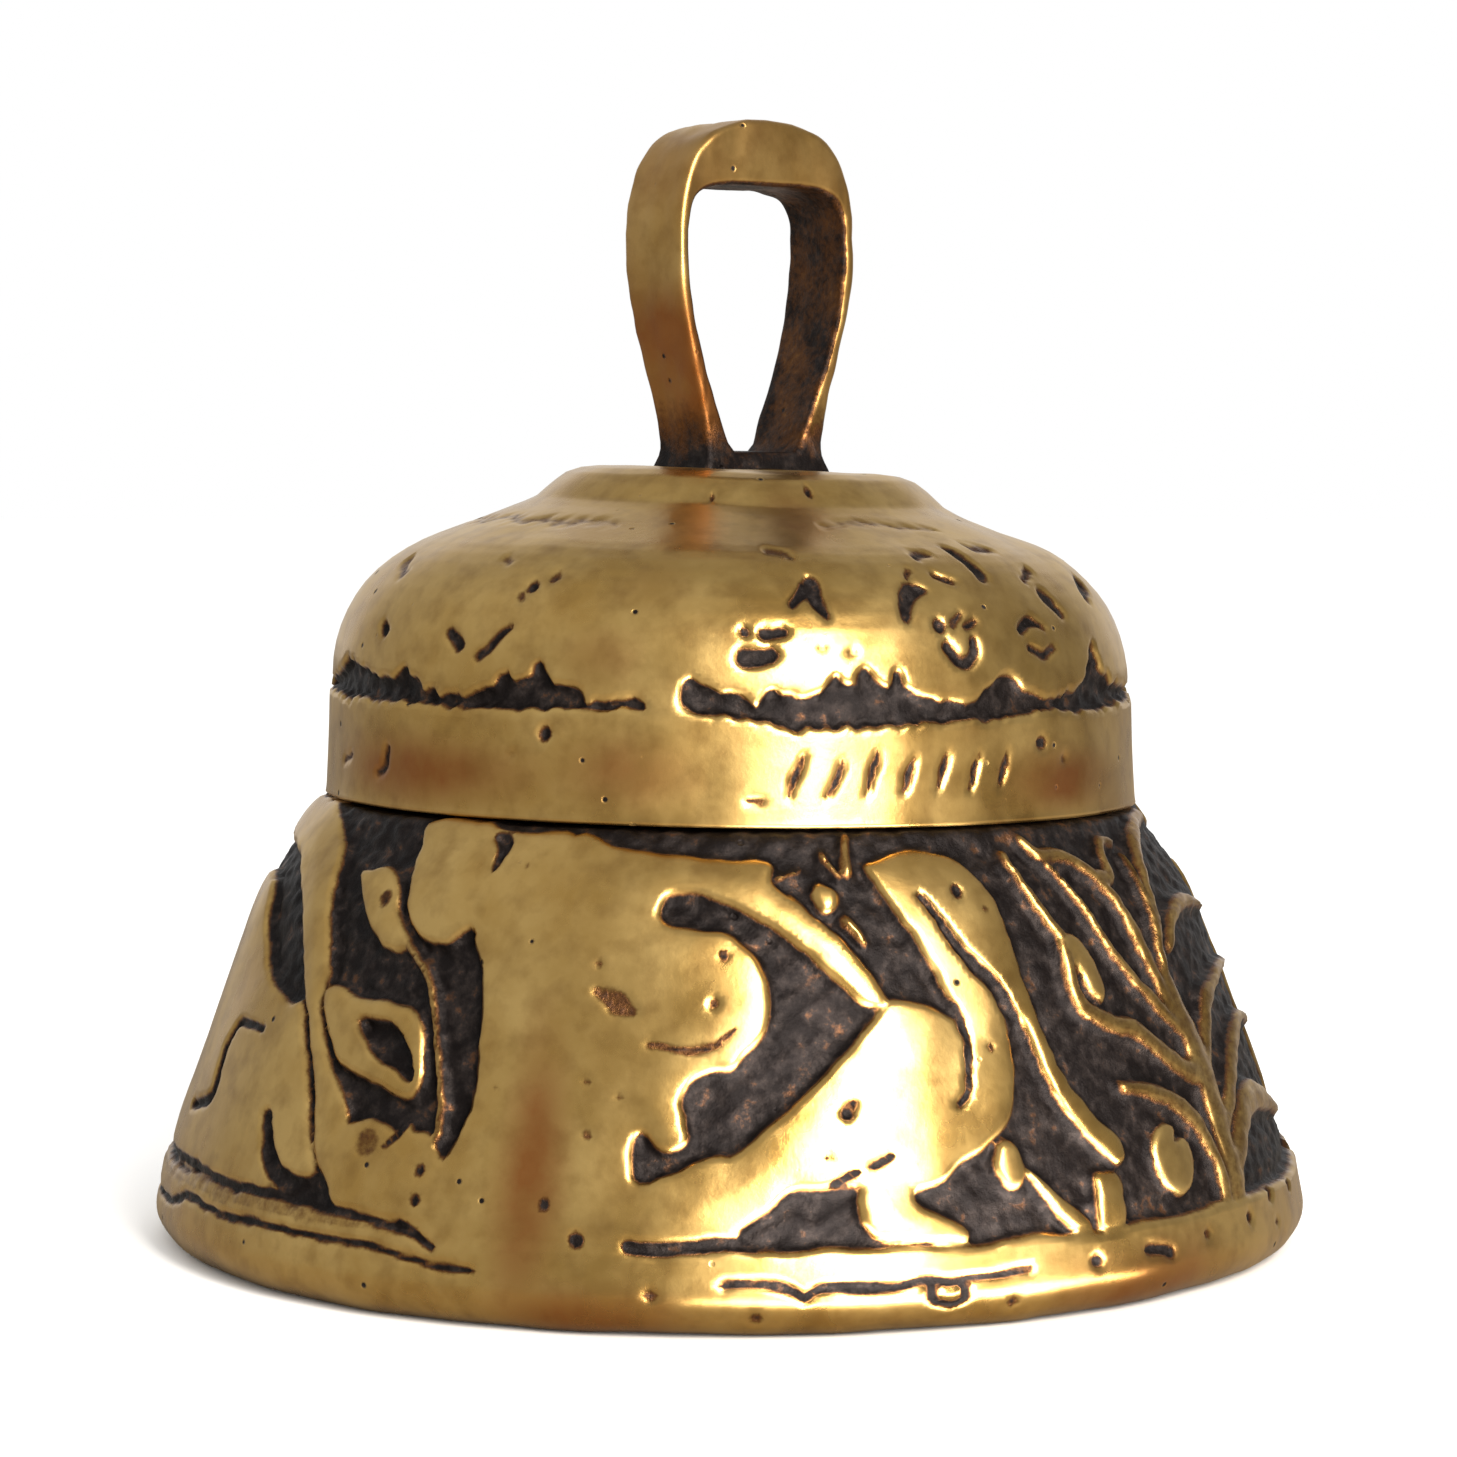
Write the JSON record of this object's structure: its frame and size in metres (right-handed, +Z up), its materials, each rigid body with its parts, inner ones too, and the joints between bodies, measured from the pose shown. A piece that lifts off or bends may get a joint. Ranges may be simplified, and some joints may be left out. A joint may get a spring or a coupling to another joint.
{
  "type": "hand bell",
  "caption": "Small cast brass hand bell with a strap loop handle, a low-relief band of beasts and leaves round its skirt, and a hanging clapper.",
  "frame": {"origin": "centre of the rim's flat face, which the bell stands on", "axes": "+Z up along the bell's axis; the strap loop stands in the XZ plane, so its opening faces along Y"},
  "size_m": [0.07, 0.07, 0.0673],
  "materials": {
    "bell_brass": "sand cast, hand polished on its raised faces, dark brown patina left in the recesses",
    "handle_brass": "cast, worn smooth and satin where it is held, dark and rough on the inside",
    "inner_brass": "turned and left unpolished, dull with age",
    "clapper_iron": "forged wire, dark brown oxide",
    "ball_brass": "turned ball, satin, with bright marks where it strikes"
  },
  "bodies": {
    "bell": {"bell_body": "bell_brass", "loop_handle": "handle_brass", "crown_washer": "inner_brass", "lock_nut": "inner_brass", "eye_bolt": "inner_brass"},
    "link": {"clapper_link": "clapper_iron"},
    "clapper": {"clapper_rod": "clapper_iron", "clapper_ball": "ball_brass"}
  },
  "joints": [
    {"name": "link_swing", "type": "hinge", "parent": "bell", "child": "link", "pos_m": [0, 0, 0.03386], "axis": [1, 0, 0], "range_deg": [-30, 30]},
    {"name": "clapper_swing", "type": "hinge", "parent": "link", "child": "clapper", "pos_m": [0, 0, 0.02971], "axis": [0, 1, 0], "range_deg": [-50, 50]}
  ]
}
